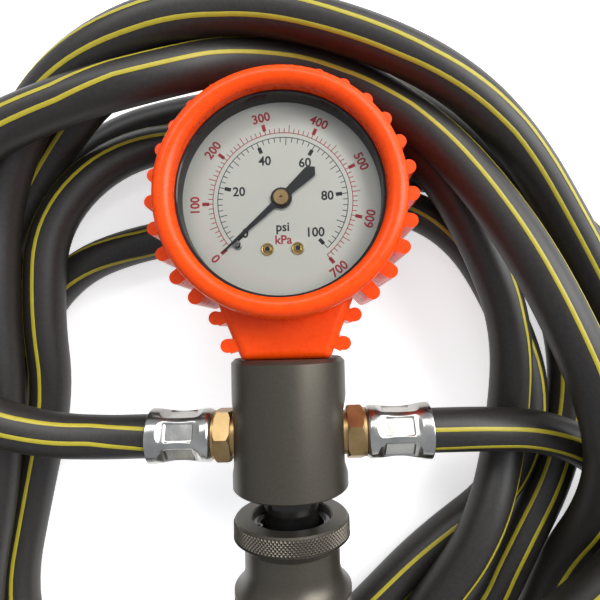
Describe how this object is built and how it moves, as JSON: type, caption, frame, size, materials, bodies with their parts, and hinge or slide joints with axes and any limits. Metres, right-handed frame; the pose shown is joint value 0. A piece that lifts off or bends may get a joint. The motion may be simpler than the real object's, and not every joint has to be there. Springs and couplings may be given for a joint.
{
  "type": "tire inflator deflator",
  "caption": "Tyre inflator and deflator with a dial gauge in an orange rubber boot, a sliding knurled deflate valve, an air inlet plug and coiled hoses with clip-on chucks",
  "frame": {"origin": "on the inlet plug's axis, in the plane where its sealing nose begins", "axes": "+Y runs up the body from the inlet plug to the gauge, +Z comes out of the dial, +X is to the right as the dial is read"},
  "size_m": [0.278, 0.286, 0.0615],
  "materials": {
    "body_alloy": "satin dark grey-brown anodising",
    "black_stem": "gloss black",
    "seal_rubber": "matt black",
    "plated_steel": "plated, satin",
    "spring_steel": "plain",
    "fitting_brass": "turned, slightly dull",
    "movement_brass": "stamped",
    "zinc_plate": "bright zinc plate",
    "hose_rubber": "matt black with two yellow stripes",
    "boot_rubber": "glossy orange",
    "black_case": "gloss black",
    "dial_white": "matt white with black and red print",
    "pointer_black": "matt black",
    "clear_lens": "clear"
  },
  "bodies": {
    "unit": {"bourdon_tube": "movement_brass", "dial_plate": "dial_white", "dial_screws": "fitting_brass", "gauge_boot": "boot_rubber", "gauge_case": "black_case", "gauge_lens": "clear_lens", "gauge_socket": "fitting_brass", "hair_spring": "movement_brass", "hose_coil_lower": "hose_rubber", "hose_coil_upper": "hose_rubber", "inlet_fitting": "plated_steel", "inlet_seal": "seal_rubber", "left_chuck_body": "plated_steel", "left_chuck_seal": "seal_rubber", "left_end_ferrule": "zinc_plate", "left_ferrule": "zinc_plate", "left_hose_end": "hose_rubber", "left_hose_fitting": "fitting_brass", "left_hose_lead": "hose_rubber", "left_lever_pin": "plated_steel", "left_lever_spring": "spring_steel", "left_valve_depressor": "fitting_brass", "lens_ring": "black_case", "manifold_body": "body_alloy", "movement_back_plate": "movement_brass", "movement_front_plate": "movement_brass", "movement_pillars": "movement_brass", "right_chuck_body": "plated_steel", "right_chuck_seal": "seal_rubber", "right_end_ferrule": "zinc_plate", "right_ferrule": "zinc_plate", "right_hose_end": "hose_rubber", "right_hose_fitting": "fitting_brass", "right_hose_lead": "hose_rubber", "right_lever_pin": "plated_steel", "right_lever_spring": "spring_steel", "right_valve_depressor": "fitting_brass", "stem_o_ring": "seal_rubber", "stop_pin": "spring_steel", "tube_tip": "movement_brass", "valve_stem": "black_stem"},
    "sleeve": {"valve_sleeve": "body_alloy", "sleeve_upper_o_ring": "seal_rubber", "sleeve_lower_o_ring": "seal_rubber", "sleeve_circlip": "spring_steel", "sleeve_stop_washer": "spring_steel"},
    "pointer": {"pointer": "pointer_black", "pointer_cap": "fitting_brass", "pinion": "movement_brass"},
    "sector": {"sector_gear": "movement_brass"},
    "link": {"tip_link": "movement_brass"},
    "left_lever": {"left_chuck_lever": "black_case"},
    "right_lever": {"right_chuck_lever": "black_case"}
  },
  "joints": [
    {"name": "sleeve_slide", "type": "slide", "parent": "unit", "child": "sleeve", "axis": [0, 1, 0], "range_m": [0, 0.0087]},
    {"name": "sector_turn", "type": "hinge", "parent": "unit", "child": "sector", "pos_m": [-0.0084, 0.18105, 0.0092], "axis": [0, 0, 1], "range_deg": [0, 30.5], "stiffness_Nm_per_rad": 0.02},
    {"name": "pointer_turn", "type": "hinge", "parent": "unit", "child": "pointer", "pos_m": [0, 0.1665, 0.0092], "axis": [0, 0, -1], "range_deg": [0, 275]},
    {"name": "link_swing", "type": "hinge", "parent": "sector", "child": "link", "pos_m": [-0.0154, 0.18105, 0.0086], "axis": [0, 0, 1], "range_deg": [-31, 0]},
    {"name": "left_lever_press", "type": "hinge", "parent": "unit", "child": "left_lever", "pos_m": [-0.0818, 0.0061, 0.0006], "axis": [0.2, 0.9798, 0], "range_deg": [0, 14], "stiffness_Nm_per_rad": 0.8, "springref_deg": -8.59, "deforming": ["left_lever_spring"]},
    {"name": "right_lever_press", "type": "hinge", "parent": "unit", "child": "right_lever", "pos_m": [0.08852, -0.00438, 0.0006], "axis": [-0.8189, 0.5739, 0], "range_deg": [0, 14], "stiffness_Nm_per_rad": 0.8, "springref_deg": -8.59, "deforming": ["right_lever_spring"]}
  ],
  "couplings": [
    {"joint": "pointer_turn", "follows": "sector_turn", "ratio": 9},
    {"joint": "link_swing", "follows": "sector_turn", "ratio": -1}
  ]
}
